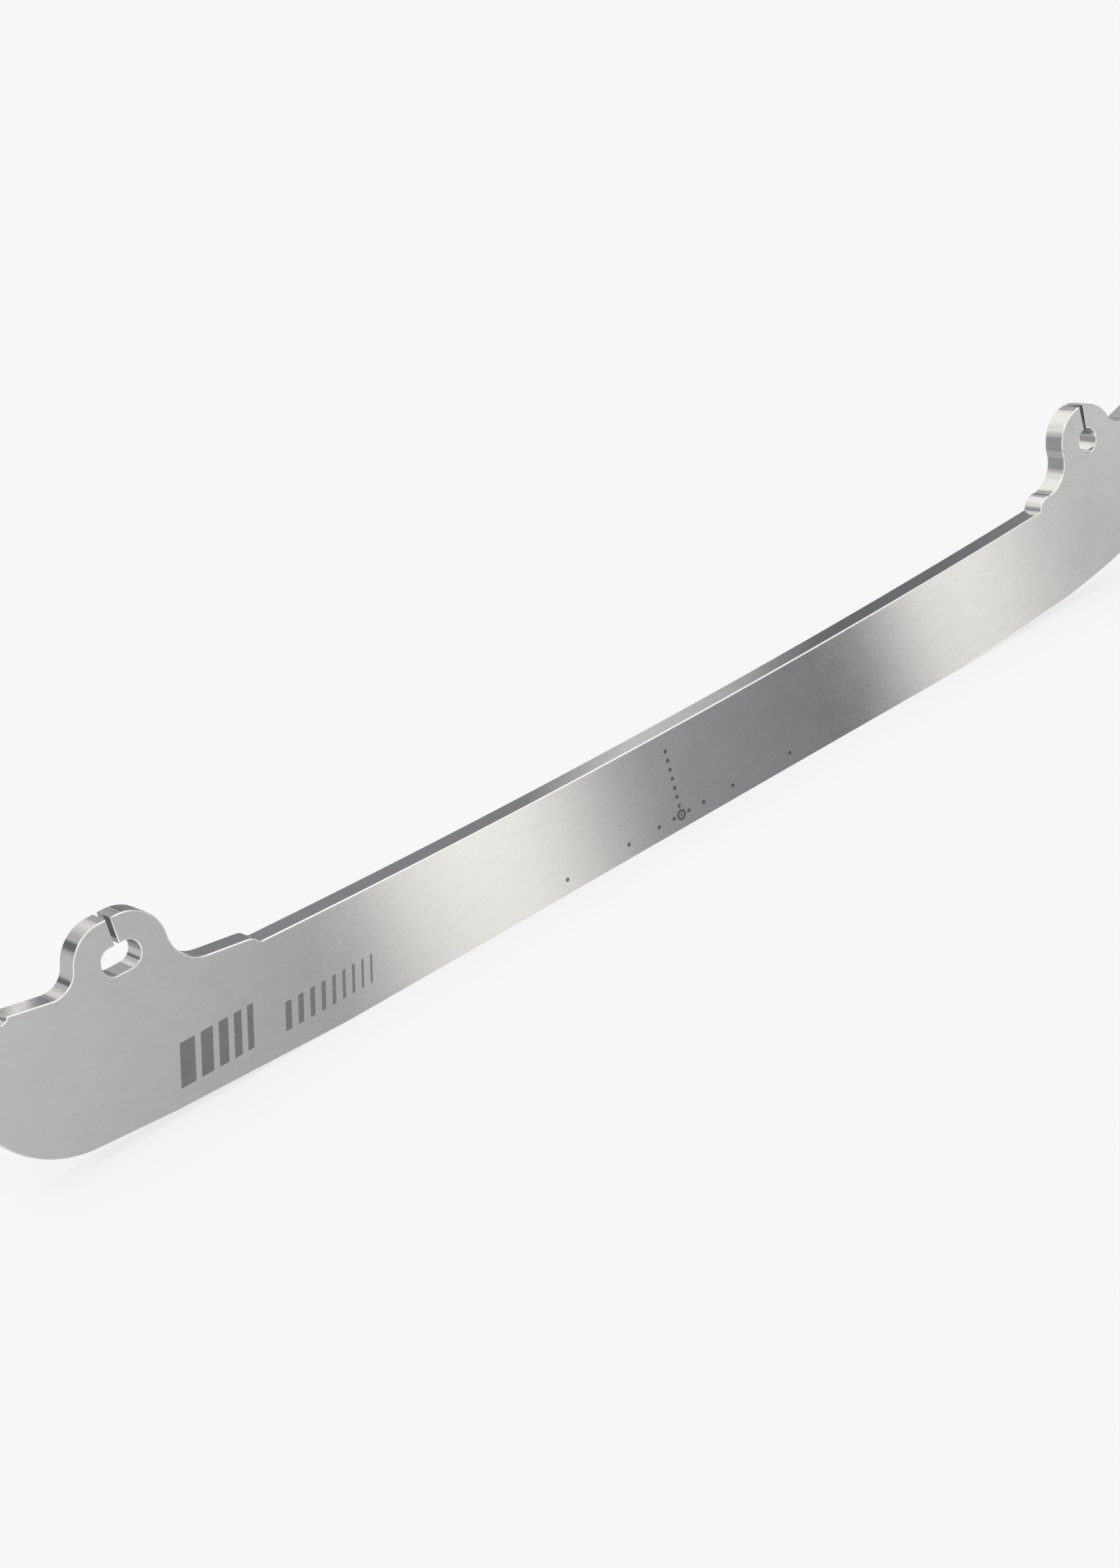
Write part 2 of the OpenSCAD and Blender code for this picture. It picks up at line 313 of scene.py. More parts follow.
def outline(s):
    """The runner's outline as lines and arcs that run on into one another, the steel on their left.

    Each hollow's centre lies on a line parallel to the edge that it touches and on a circle about the lug, one
    hollow's radius outside both, so it is tangent to both.
    """
    up = np.pi / 2
    rim, keen, fine = s.rim_r, s.edge_r, s.slit_rim_r
    clear = CORNER_CLEAR * rim
    heel_break = np.array([-s.heel_break, (s.heel_break - s.flat_heel) * np.tan(s.heel_rise)])
    toe_break = np.array([s.toe_break, (s.toe_break - s.flat_toe) * np.tan(s.toe_rise)])
    corner_x = s.heel_corner_r - s.heel_reach
    corner_h = height(heel_break, -s.heel_lift, corner_x) + s.heel_corner_r / np.cos(s.heel_lift)
    corner = np.array([corner_x, corner_h])
    corner_end = corner + s.heel_corner_r * way(-up - s.heel_lift)

    sweep = toe_break + s.toe_sweep_r * way(up + s.toe_lift)
    sweep_a = np.arcsin((s.toe_sweep_x - sweep[0]) / s.toe_sweep_r)
    sweep_end = sweep + s.toe_sweep_r * way(sweep_a - up)
    toe_end = np.array([s.toe_reach, s.toe_end_h])
    nose_x = s.toe_reach - s.nose_r
    nose = np.array([nose_x, height(toe_end, s.toe_top_a, nose_x) - s.nose_r / np.cos(s.toe_top_a)])
    to_nose = nose - sweep_end
    inward = way(sweep_a + up)
    tip_r = (to_nose @ to_nose - s.nose_r**2) / (2 * (to_nose @ inward - s.nose_r))
    tip = sweep_end + tip_r * inward
    nose_a = bearing(nose - tip)

    toe_lug = np.array([s.toe_lug_x, s.lug_h])
    lug_back = np.array([-s.heel_lug_x - s.heel_lug_l / 2, s.lug_h])
    lug_front = np.array([-s.heel_lug_x + s.heel_lug_l / 2, s.lug_h])
    heel_end = np.array([-s.heel_reach, s.heel_end_h])
    top_x = s.heel_top_r - s.heel_reach
    heel_top = np.array([top_x, height(heel_end, -s.heel_top_a, top_x) - s.heel_top_r / np.cos(s.heel_top_a)])
    heel_up = way(up - s.heel_top_a)
    back = line_circle(
        heel_end + s.outer_fillet_r * heel_up, -s.heel_top_a, lug_back, s.heel_lug_r + s.outer_fillet_r, -1
    )
    shoulder = np.array([-s.shoulder_x, s.shoulder_h])
    shoulder_up = way(up - s.shoulder_a)
    front = line_circle(
        shoulder + s.heel_fillet_r * shoulder_up, -s.shoulder_a, lug_front, s.heel_lug_r + s.heel_fillet_r, 1
    )
    waist = np.array([(s.toe_lug_x - s.heel_lug_x) / 2, s.waist_h + s.waist_r])
    step = shoulder - s.step_top_r * shoulder_up
    foot = circles(step, s.step_top_r + s.step_foot_r, waist, s.waist_r - s.step_foot_r, -1)
    rise_h = s.toe_step_h + s.toe_fillet_r
    rise = line_circle(np.array([0.0, rise_h]), 0.0, toe_lug, s.toe_lug_r + s.toe_fillet_r, -1)
    toe_step = np.array([rise[0], s.toe_step_h - s.toe_step_r])
    step_cross = circles(toe_step, s.toe_step_r, waist, s.waist_r, 1)
    toe_up = way(up + s.toe_top_a)
    dip = line_circle(
        toe_end + s.outer_fillet_r * toe_up, s.toe_top_a, toe_lug, s.toe_lug_r + s.outer_fillet_r, 1
    )
    notch = np.array([-s.notch_x, height(heel_end, -s.heel_top_a, -s.notch_x)])

    half_slit = s.slit_w / 2
    toe_slit_a = np.arccos(half_slit / s.toe_lug_r)
    hole_slit_a = np.arccos(half_slit / s.hole_r)
    right, left = np.array([half_slit, 0.0]), np.array([-half_slit, 0.0])
    toe_top, hole_top = np.sin(toe_slit_a) * s.toe_lug_r, np.sin(hole_slit_a) * s.hole_r
    lug_mid = (lug_back + lug_front) / 2
    slot_end = np.array([s.slot_l / 2, 0.0])
    lug_up, slot_up = np.array([0.0, s.heel_lug_r]), np.array([0.0, s.hole_r])

    dip_a, rise_a = bearing(dip - toe_lug), bearing(rise - toe_lug)
    front_a, back_a = bearing(front - lug_front), bearing(back - lug_back)
    waist_start, waist_end = bearing(step_cross - waist), bearing(foot - waist)
    foot_a = bearing(step - foot)
    dip_start, rise_start = s.toe_top_a - up, after(rise_a + np.pi, 0.0)
    back_start = bearing(lug_back - back)

    return [
        arc(corner, s.heel_corner_r, np.pi, 3 * up - s.heel_lift, (rim, keen)),
        line(corner_end, heel_break, keen),
        line(heel_break, np.array([-s.flat_heel, 0.0]), keen),
        line(np.array([-s.flat_heel, 0.0]), np.array([s.flat_toe, 0.0]), keen),
        line(np.array([s.flat_toe, 0.0]), toe_break, keen),
        arc(sweep, s.toe_sweep_r, s.toe_lift - up, sweep_a - up, keen),
        arc(tip, tip_r, sweep_a - up, nose_a, (keen, rim)),
        arc(nose, s.nose_r, nose_a, up + s.toe_top_a, rim),
        line(nose + s.nose_r * toe_up, dip - s.outer_fillet_r * toe_up, rim),
        arc(dip, s.outer_fillet_r, dip_start, before(dip_a + np.pi, dip_start), rim),
        arc(toe_lug, s.toe_lug_r, dip_a, toe_slit_a, rim, (0.0, clear)),
        line(toe_lug + right + [0.0, toe_top], toe_lug + right + [0.0, hole_top], fine),
        arc(toe_lug, s.hole_r, hole_slit_a, -np.pi - hole_slit_a, rim, (clear, clear)),
        line(toe_lug + left + [0.0, hole_top], toe_lug + left + [0.0, toe_top], fine),
        arc(toe_lug, s.toe_lug_r, np.pi - toe_slit_a, after(rise_a, up), rim, (clear, 0.0)),
        arc(rise, s.toe_fillet_r, rise_start, -up, rim),
        arc(toe_step, s.toe_step_r, up, after(bearing(step_cross - toe_step), up), rim),
        arc(waist, s.waist_r, waist_start, before(waist_end, waist_start), rim),
        arc(foot, s.step_foot_r, waist_end, before(foot_a, waist_end), rim),
        arc(step, s.step_top_r, foot_a + np.pi, up - s.shoulder_a, rim),
        line(shoulder, front - s.heel_fillet_r * shoulder_up, rim),
        arc(front, s.heel_fillet_r, -up - s.shoulder_a, before(front_a + np.pi, -up - s.shoulder_a), rim),
        arc(lug_front, s.heel_lug_r, front_a, up, rim),
        line(lug_front + lug_up, lug_mid + right + lug_up, rim),
        line(lug_mid + right + lug_up, lug_mid + right + slot_up, fine),
        line(lug_mid + right + slot_up, lug_mid + slot_end + slot_up, rim),
        arc(lug_mid + slot_end, s.hole_r, up, -up, rim),
        line(lug_mid + slot_end - slot_up, lug_mid - slot_end - slot_up, rim),
        arc(lug_mid - slot_end, s.hole_r, -up, -3 * up, rim),
        line(lug_mid - slot_end + slot_up, lug_mid + left + slot_up, rim),
        line(lug_mid + left + slot_up, lug_mid + left + lug_up, fine),
        line(lug_mid + left + lug_up, lug_back + lug_up, rim),
        arc(lug_back, s.heel_lug_r, up, after(back_a, up), rim),
        arc(back, s.outer_fillet_r, back_start, before(-up - s.heel_top_a, back_start), rim),
        line(back - s.outer_fillet_r * heel_up, notch + s.notch_r * way(-s.heel_top_a), rim),
        arc(notch, s.notch_r, -s.heel_top_a, -s.heel_top_a - np.pi, rim, (clear, clear)),
        line(notch - s.notch_r * way(-s.heel_top_a), heel_top + s.heel_top_r * heel_up, rim),
        arc(heel_top, s.heel_top_r, up - s.heel_top_a, np.pi, rim),
        line(heel_top - [s.heel_top_r, 0.0], corner - [s.heel_corner_r, 0.0], rim),
    ]


# The stretches of the outline that are the running edge: from the heel corner's end to the toe sweep's end
RUNNING = range(1, 6)
FACE, RIM, WALL, EDGE = range(4)


def runner_mesh(s):
    """The runner's skin: its edge section carried along the outline, and closed by its two flat faces.

    Across the section the rim is a quarter circle, its inset r (1 - sin t) and its depth below the face
    r (1 - cos t); the wall runs from rim to rim. Along the outline each point moves inwards on the mitre of its
    two normals, n1 + n2 over 1 + n1.n2, times the inset.
    """
    parts = outline(s)
    at = np.concatenate([p[:-1] for p, n, r in parts])
    leave = np.concatenate([n[:-1] for p, n, r in parts])
    arrive = np.concatenate([n[1:] for p, n, r in parts])
    rim = np.concatenate([r[:-1] for p, n, r in parts])
    running = np.concatenate([np.full(len(p) - 1, i in RUNNING) for i, (p, n, r) in enumerate(parts)])
    into = np.roll(arrive, 1, axis=0)
    mitre = (into + leave) / (1 + np.sum(into * leave, axis=1))[:, None]
    at = at - [(s.toe_reach - s.heel_reach) / 2, 0.0]
    count = len(at)

    turn = np.linspace(0, np.pi / 2, RIM_ROWS)
    inset = rim * (1 - np.sin(turn))[:, None]
    drop = rim * (1 - np.cos(turn))[:, None]
    flat = at[None] - mitre[None] * inset[..., None]
    near = np.stack([flat[..., 0], drop - s.thickness / 2, flat[..., 1]], axis=-1)
    inner = near[-1:] + [0.0, s.wear_w, 0.0]
    near = np.concatenate([near, inner])
    points = np.concatenate([near, near[::-1] * [1, -1, 1]])
    rows = len(points)
    half = rows // 2

    tilt = np.append(turn, np.pi / 2)
    tilt = np.concatenate([tilt, tilt[::-1]])
    face_y = np.where(np.arange(rows) < half, -1.0, 1.0)

    def normals(flat_normals):
        """Normals of every row: the outline's own times the sine of the turn, the face's times its cosine."""
        side = np.sin(tilt)[:, None, None] * flat_normals
        across = np.broadcast_to((face_y * np.cos(tilt))[:, None], (rows, count))
        return np.stack([side[..., 0], across, side[..., 1]], axis=-1)

    start, end = normals(leave), normals(arrive)
    index = np.arange(rows * count).reshape(rows, count)
    ahead = np.roll(index, -1, axis=1)
    quads = np.stack([index[:-1], index[1:], ahead[1:], ahead[:-1]], axis=-1)
    quad_normals = np.stack([start[:-1], start[1:], end[1:], end[:-1]], axis=2)
    near_cap, far_cap = index[0], index[-1][::-1]

    kinds = np.array([RIM] * (half - 2) + [WALL] * 3 + [RIM] * (half - 2))
    kinds = np.broadcast_to(kinds[:, None], quads.shape[:2]).copy()
    kinds[half - 2 : half + 1, running] = EDGE
    kinds = np.concatenate([kinds.ravel(), [FACE, FACE]])
    worn = np.array([1.0] * (half - 1) + [0.0, 0.0] + [1.0] * (half - 1))
    worn = np.broadcast_to(np.stack([worn[:-1], worn[1:], worn[1:], worn[:-1]], axis=-1)[:, None], quads.shape)
    worn = np.concatenate([worn.ravel(), np.zeros(2 * count)])

    faces = quads.reshape(-1, 4).tolist() + [near_cap.tolist(), far_cap.tolist()]
    cap_normals = np.repeat([[0.0, -1.0, 0.0], [0.0, 1.0, 0.0]], count, axis=0)
    loop_normals = np.concatenate([quad_normals.reshape(-1, 3), cap_normals])

    mesh = bpy.data.meshes.new("runner_skin")
    mesh.from_pydata(points.reshape(-1, 3), [], faces)
    mesh.polygons.foreach_set("material_index", kinds.astype(np.int32))
    mesh.attributes.new("rubbed", "FLOAT", "CORNER").data.foreach_set("value", worn.astype(np.float32))
    mesh.normals_split_custom_set(loop_normals.tolist())
    return mesh


def studs(centres, shape, thickness, proud, y):
    """Low flat studs of one convex shape, facing -Y: round each centre, the shape at three depths.

    The depths stand proud, half proud and sunk, and the shape is drawn in a little at the first.
    """
    shares = np.array([STUD_TOP, 1.0, 1.0])
    depths = y + np.array([-proud, -proud / 2, thickness])
    flat = centres[:, None, None, :] + shares[:, None, None] * shape
    depth = np.broadcast_to(depths[None, :, None], flat.shape[:3])
    points = np.stack([flat[..., 0], depth, flat[..., 1]], axis=-1)
    index = np.arange(points[..., 0].size).reshape(points.shape[:3])
    ahead = np.roll(index, -1, axis=2)
    quads = np.stack([index[:, :-1], index[:, 1:], ahead[:, 1:], ahead[:, :-1]], axis=-1)
    caps = index[:, 0].tolist() + index[:, -1, ::-1].tolist()
    return points.reshape(-1, 3), quads.reshape(-1, 4).tolist() + caps


def bars(start, widths, gap, rise, lean, *layer):
    """A row of leaning bars side by side: each begins a gap beyond the one before it, and leans by one angle."""
    starts = start[0] + np.cumsum([0.0, *(widths[:-1] + gap)])
    over = rise * np.tan(lean)
    shapes = []
    for left, wide in zip(starts, widths):
        middle = np.array([left + (wide + over) / 2, start[1] + rise / 2])
        low, high = [[-wide - over, -rise], [wide - over, -rise]], [[wide + over, rise], [over - wide, rise]]
        shapes.append(studs(middle[None], np.array(low + high) / 2, *layer))
    return shapes


def ring(centre, radius, width, sides, thickness, proud, y):
    """A low flat ring facing -Y: a section with a bevelled top carried round a circle about the centre."""
    angles = np.linspace(0, 2 * np.pi, sides, endpoint=False)
    across = radius + width / 2 * np.array([-1.0, -RING_TOP, RING_TOP, 1.0, 1.0, -1.0])
    depths = y + np.array([-proud / 2, -proud, -proud, -proud / 2, thickness, thickness])
    flat = centre + across[:, None, None] * way(angles)[None]
    depth = np.broadcast_to(depths[:, None], flat.shape[:2])
    points = np.stack([flat[..., 0], depth, flat[..., 1]], axis=-1)
    index = np.arange(points[..., 0].size).reshape(points.shape[:2])
    over, ahead = np.roll(index, -1, axis=0), np.roll(index, -1, axis=1)
    both = np.roll(over, -1, axis=1)
    return points.reshape(-1, 3), np.stack([index, over, both, ahead], axis=-1).reshape(-1, 4).tolist()


def joined(name, shapes):
    """One mesh from several shapes: their points in a row, and their faces counted on from one to the next."""
    starts = np.cumsum([0] + [len(points) for points, faces in shapes])
    faces = [[start + i for i in face] for start, (points, made) in zip(starts, shapes) for face in made]
    mesh = bpy.data.meshes.new(name)
    mesh.from_pydata(np.concatenate([points for points, faces in shapes]), [], faces)
    return mesh


def put(tree, kind, sockets=None, **settings):
    """A node with its settings and sockets filled in; a socket given as a value is linked to."""
    node = tree.nodes.new(kind)
    for key, value in settings.items():
        setattr(node, key, value)
    for key, value in (sockets or {}).items():
        if isinstance(value, bpy.types.NodeSocket):
            tree.links.new(value, node.inputs[key])
        else:
            node.inputs[key].default_value = value
    return node


def sums(tree, operation, *values):
    """The output of a Math node."""
    return put(tree, "ShaderNodeMath", dict(enumerate(values)), operation=operation).outputs[0]


def eased(tree, value, start, end, low=0.0, high=1.0):
    """A smooth step of value from low at start to high at end."""
    sockets = {"Value": value, "From Min": start, "From Max": end, "To Min": low, "To Max": high}
    return put(tree, "ShaderNodeMapRange", sockets, interpolation_type="SMOOTHSTEP").outputs[0]


def faded(tree, value, stops):
    """A soft stretch of value: eased in from the first stop to the second, out from the third to the fourth."""
    start, full, fade, end = stops
    return sums(tree, "MULTIPLY", eased(tree, value, start, full), eased(tree, value, fade, end, 1.0, 0.0))


def ramp(tree, value, stops):
    """A colour ramp through the stops, which are (place from 0 to 1, grey or red, green and blue)."""
    node = put(tree, "ShaderNodeValToRGB", {"Fac": value})
    elements = node.color_ramp.elements
    while len(elements) < len(stops):
        elements.new(0.5)
    for element, (place, colour) in zip(elements, stops):
        element.position = place
    for element, (place, colour) in zip(elements, stops):
        element.color = (*np.broadcast_to(colour, 3), 1.0)
    return node.outputs["Color"]


def blended(tree, amount, low, high, blend_type="MIX"):
    """A colour between low and high by the amount, or low times high where the blend type is MULTIPLY."""
    node = put(tree, "ShaderNodeMix", {"Factor": amount}, data_type="RGBA", blend_type=blend_type)
    for name, value in (("A", low), ("B", high)):
        socket = next(i for i in node.inputs if i.name == name and i.type == "RGBA")
        if isinstance(value, bpy.types.NodeSocket):
            tree.links.new(value, socket)
        else:
            socket.default_value = (*value, 1.0)
    return next(o for o in node.outputs if o.type == "RGBA")


def new_group(name, inputs, outputs):
    """A shader node group with named float or vector inputs and outputs, and its two end nodes."""
    group = bpy.data.node_groups.new(name, "ShaderNodeTree")
    for label, kind, value in inputs:
        socket = group.interface.new_socket(label, in_out="INPUT", socket_type=kind)
        if value is not None:
            socket.default_value = value
    for label, kind in outputs:
        group.interface.new_socket(label, in_out="OUTPUT", socket_type=kind)
    return group, put(group, "NodeGroupInput"), put(group, "NodeGroupOutput")


def noise(tree, position, scale, detail, distortion=0.0):
    """The value of a noise at a position."""
    sockets = {"Vector": position, "Scale": scale, "Detail": detail, "Distortion": distortion}
    return put(tree, "ShaderNodeTexNoise", sockets).outputs["Fac"]


# The grain: how much of its tone is the fine noise, how coarse the broad noise is beside it, and their detail
FINE_SHARE = 0.34
BROAD_SCALE = 0.3
GRAIN_DETAIL = 3.0


def grain_group():
    """Grinding grain: noise on a position drawn out along one way.

    The height is the fine noise alone, and the tone is a third of it and two thirds of a broader noise.
    """
    group, given, made = new_group(
        "grinding grain",
        [
            ("Position", "NodeSocketVector", None),
            ("Draw", "NodeSocketVector", (1.0, 1.0, 1.0)),
            ("Fineness", "NodeSocketFloat", 8.0),
        ],
        [("Height", "NodeSocketFloat"), ("Tone", "NodeSocketFloat")],
    )
    sockets = {0: given.outputs["Position"], 1: given.outputs["Draw"]}
    drawn = put(group, "ShaderNodeVectorMath", sockets, operation="MULTIPLY").outputs[0]
    fine = noise(group, drawn, given.outputs["Fineness"], GRAIN_DETAIL)
    broad_scale = sums(group, "MULTIPLY", given.outputs["Fineness"], BROAD_SCALE)
    broad = noise(group, drawn, broad_scale, GRAIN_DETAIL)
    broad = sums(group, "MULTIPLY", broad, 1 - FINE_SHARE)
    group.links.new(fine, made.inputs["Height"])
    group.links.new(sums(group, "MULTIPLY_ADD", fine, FINE_SHARE, broad), made.inputs["Tone"])
    return group


# The clouds: the detail and warp of their noise, and the noise values between which they thicken
CLOUD_DETAIL = 4.0
CLOUD_WARP = 0.6
CLOUD_EDGES = (0.3, 0.7)


def cloud_group():
    """Soft clouds: one slow noise, warped and eased to a mask from 0 to 1."""
    group, given, made = new_group(
        "soft clouds",
        [("Position", "NodeSocketVector", None), ("Size", "NodeSocketFloat", 6.0)],
        [("Mask", "NodeSocketFloat")],
    )
    scale = sums(group, "DIVIDE", 1.0, given.outputs["Size"])
    slow = noise(group, given.outputs["Position"], scale, CLOUD_DETAIL, CLOUD_WARP)
    group.links.new(eased(group, slow, *CLOUD_EDGES), made.inputs["Mask"])
    return group


# The wear: the power that holds it to the rim, its noise's detail, the noise values between which it thickens, and
# its least and full strength
WEAR_POWER = 3.0
WEAR_DETAIL = 3.0
WEAR_EDGES = (0.35, 0.6)
WEAR_STRENGTH = (0.35, 1.0)


def wear_group():
    """Edge wear: the rubbed attribute raised to a power, and broken up by noise near the rim."""
    group, given, made = new_group(
        "rubbed rim",
        [
            ("Position", "NodeSocketVector", None),
            ("Rubbed", "NodeSocketFloat", 0.0),
            ("Size", "NodeSocketFloat", 0.6),
        ],
        [("Mask", "NodeSocketFloat")],
    )
    scale = sums(group, "DIVIDE", 1.0, given.outputs["Size"])
    near = sums(group, "POWER", given.outputs["Rubbed"], WEAR_POWER)
    patchy = noise(group, given.outputs["Position"], scale, WEAR_DETAIL)
    broken = eased(group, patchy, *WEAR_EDGES, *WEAR_STRENGTH)
    group.links.new(sums(group, "MULTIPLY", near, broken), made.inputs["Mask"])
    return group


def shared_groups():
    """The node groups that the materials share, made once."""
    makers = {"grinding grain": grain_group, "soft clouds": cloud_group, "rubbed rim": wear_group}
    return {name: bpy.data.node_groups.get(name) or make() for name, make in makers.items()}


def effect(tree, group, **sockets):
    """The outputs of a shared effect, placed in a material with its own values."""
    return put(tree, "ShaderNodeGroup", sockets, node_tree=group).outputs


def millimetres(tree):
    """The place on the piece in millimetres: Object coordinates times a thousand."""
    place = put(tree, "ShaderNodeTexCoord").outputs["Object"]
    return put(tree, "ShaderNodeVectorMath", {0: place, 1: (1 / MM,) * 3}, operation="MULTIPLY").outputs[0]


def blank_material(name):
    """A new material with an empty node tree."""
    material = bpy.data.materials.new(name)
    material.use_nodes = True
    material.node_tree.nodes.clear()
    return material


def bare_metal(tree, colour, rough, relief, bumps):
    """The shader of a bare metal, whose relief is in millimetres, linked to the material's output."""
    bump = put(tree, "ShaderNodeBump", {"Strength": 1.0, "Distance": relief * MM, "Height": bumps})
    sockets = {"Base Color": colour, "Roughness": rough, "Normal": bump.outputs["Normal"], "Metallic": 1.0}
    shader = put(tree, "ShaderNodeBsdfPrincipled", sockets)
    put(tree, "ShaderNodeOutputMaterial", {"Surface": shader.outputs[0]})


# The steel: the size of its clouds in millimetres and the tints that they lay over it, its colour where it is
# rubbed, how far its roughness goes up and down with the grain, and how much the clouds add
STEEL_CLOUD = 7.0
CLOUD_DARK = (0.978, 0.98, 0.982)
CLOUD_PALE = (1.0, 0.998, 0.996)
RUBBED = (0.84, 0.84, 0.84)
GRAIN_ROUGH = 0.03
CLOUD_ROUGH = 0.01

# Finishes of the steel, in the order of the mesh's face kinds: name, how the grain is drawn out along X, Y and Z,
# its fineness, its relief in millimetres, and how far the tone varies
FINISHES = (
    ("satin ground steel", (0.3, 1, 1), 4.0, 0.0008, 0.065),
    # The rim steel takes the paler rim colour, which paints a highlight along the edges beside their polish.
    ("rim steel with painted highlight", (0.5, 1, 1), 4.0, 0.001, 0.03),
    ("cut wall steel", (1, 0.08, 1), 5.0, 0.001, 0.03),
    ("running edge steel", (0.06, 1, 1), 6.0, 0.0015, 0.04),
)


def steel_material(name, groups, colour, roughness, draw, fineness, relief, variation):
    """Bare stainless steel: a metal whose tone, roughness and relief come from the grain, clouds and wear."""
    material = blank_material(name)
    tree = material.node_tree
    place = millimetres(tree)
    rubbed = put(tree, "ShaderNodeAttribute", attribute_name="rubbed").outputs["Fac"]
    grain = effect(tree, groups["grinding grain"], Position=place, Draw=draw, Fineness=fineness)
    clouds = effect(tree, groups["soft clouds"], Position=place, Size=STEEL_CLOUD)
    wear = effect(tree, groups["rubbed rim"], Position=place, Rubbed=rubbed)

    colour = np.array(colour)
    grey = blended(tree, grain["Tone"], colour * (1 - variation), np.minimum(colour * (1 + variation), 1))
    cloudy = blended(tree, clouds["Mask"], CLOUD_DARK, CLOUD_PALE)
    toned = blended(tree, 1.0, grey, cloudy, "MULTIPLY")
    bright = blended(tree, wear["Mask"], toned, RUBBED)
    rough = sums(tree, "MULTIPLY_ADD", grain["Height"], 2 * GRAIN_ROUGH, roughness - GRAIN_ROUGH)
    rough = sums(tree, "MULTIPLY_ADD", clouds["Mask"], CLOUD_ROUGH, rough)
    bare_metal(tree, bright, rough, relief, grain["Height"])
    return material


# The burnt marks: how their grain is drawn out and its fineness, the size of their clouds in millimetres, the
# hatching's scale, warp and detail, and its share of the tone beside the grain's
BURNT_DRAW = (0.15, 1.0, 1.0)
BURNT_FINENESS = 5.0
BURNT_CLOUD = 1.2
HATCH_SCALE = 1.6
HATCH_WARP = 1.2
HATCH_DETAIL = 1.0
HATCH_SHARE = 0.5
# How far their colour goes up and down with the tone, how much of the clouds shows and how pale it is, their least
# roughness and what the tone adds to it, and their relief in millimetres
BURNT_SWING = 0.3
BURNT_CLOUD_SHARE = 0.2
BURNT_PALE = 1.4
BURNT_ROUGH = 0.1
BURNT_ROUGH_MORE = 0.1
BURNT_RELIEF = 0.001


def burnt_material(name, groups, colour):
    """Steel burnt by a fine hatching beam: a dark satin metal, its tone and relief hatched along the blade."""
    material = blank_material(name)
    tree = material.node_tree
    place = millimetres(tree)
    grain = effect(tree, groups["grinding grain"], Position=place, Draw=BURNT_DRAW, Fineness=BURNT_FINENESS)
    clouds = effect(tree, groups["soft clouds"], Position=place, Size=BURNT_CLOUD)
    sockets = {"Vector": place, "Scale": HATCH_SCALE, "Distortion": HATCH_WARP, "Detail": HATCH_DETAIL}
    hatch = put(tree, "ShaderNodeTexWave", sockets, bands_direction="Z").outputs["Fac"]
    grained = sums(tree, "MULTIPLY", grain["Tone"], 1 - HATCH_SHARE)
    tone = sums(tree, "MULTIPLY_ADD", hatch, HATCH_SHARE, grained)
    colour = np.array(colour)
    dark = blended(tree, tone, colour * (1 - BURNT_SWING), colour * (1 + BURNT_SWING))
    clouded = sums(tree, "MULTIPLY", clouds["Mask"], BURNT_CLOUD_SHARE)
    dark = blended(tree, clouded, dark, colour * BURNT_PALE)
    rough = sums(tree, "MULTIPLY_ADD", tone, BURNT_ROUGH_MORE, BURNT_ROUGH)
    bare_metal(tree, dark, rough, BURNT_RELIEF, tone)
    return material


def piece(name, mesh, materials):
    """An object at the origin, unturned and unscaled, with its place in its mesh."""
    made = bpy.data.objects.new(name, mesh)
    bpy.context.scene.collection.objects.link(made)
    for material in materials:
        mesh.materials.append(material)
    return made


class SKATE_OT_runner(Operator):
    """Build the steel runner with rounded rims in place of the plain one"""

    bl_idname = "skate.runner"
    bl_label = "Steel runner"

    def execute(self, context):
        finish = context.scene.skate_finish
        groups = shared_groups()
        steel = tuple(finish.steel)
        looks = (
            (steel, finish.face_rough),
            # The rims get the paler rim colour: partly polish, partly a painted highlight.
            (tuple(finish.rim), finish.rim_rough),
            (steel, finish.wall_rough),
            (steel, finish.wall_rough),
        )
        materials = [steel_material(name, groups, *look, *grain) for (name, *grain), look in zip(FINISHES, looks)]
        runner = piece("runner_skin", runner_mesh(context.scene.skate_runner), materials)
        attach(runner, "root")
        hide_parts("runner")
        return {"FINISHED"}


class SKATE_OT_marks(Operator):
    """Burn the marks into the near face: the scale's ring, its row and column of dots, and two rows of bars"""

    bl_idname = "skate.marks"
    bl_label = "Scale marks"

    def execute(self, context):
        m, s = context.scene.skate_marks, context.scene.skate_runner
        centre = np.array([(s.heel_reach - s.toe_reach) / 2, m.height])
        row = np.array(ROW_STEPS) * m.pitch
        column = np.array(COLUMN_STEPS) * m.pitch
        places = np.concatenate(
            [np.stack([row, np.zeros(len(row))], axis=1), np.stack([np.zeros(len(column)), column], axis=1)]
        )
        layer = (m.depth, m.proud, -s.thickness / 2)
        circle = way(np.linspace(0, 2 * np.pi, m.sides, endpoint=False))
        bold = m.bold_w * m.bold_taper ** np.arange(m.bold_count)
        slim = m.slim_w * m.slim_taper ** np.arange(m.slim_count)
        scale = [
            studs(centre + places, m.dot_r * circle, *layer),
            studs(centre[None], m.pip_r * circle, *layer),
            ring(centre, m.ring_r, m.ring_w, 2 * m.sides, *layer),
        ]
        rows = [
            *bars([centre[0] - m.bold_x, m.bold_z], bold, m.bold_gap, m.bold_h, m.bar_lean, *layer),
            *bars([centre[0] - m.slim_x, m.slim_z], slim, m.slim_gap, m.slim_h, m.bar_lean, *layer),
        ]
        finish = context.scene.skate_finish
        for name, shapes, colour in (("scale_marks", scale, finish.burnt), ("heel_bars", rows, finish.pale_burnt)):
            material = burnt_material(name.replace("_", " "), shared_groups(), tuple(colour))
            marks = piece(name, joined(name, shapes), [material])
            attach(marks, "root")
        return {"FINISHED"}


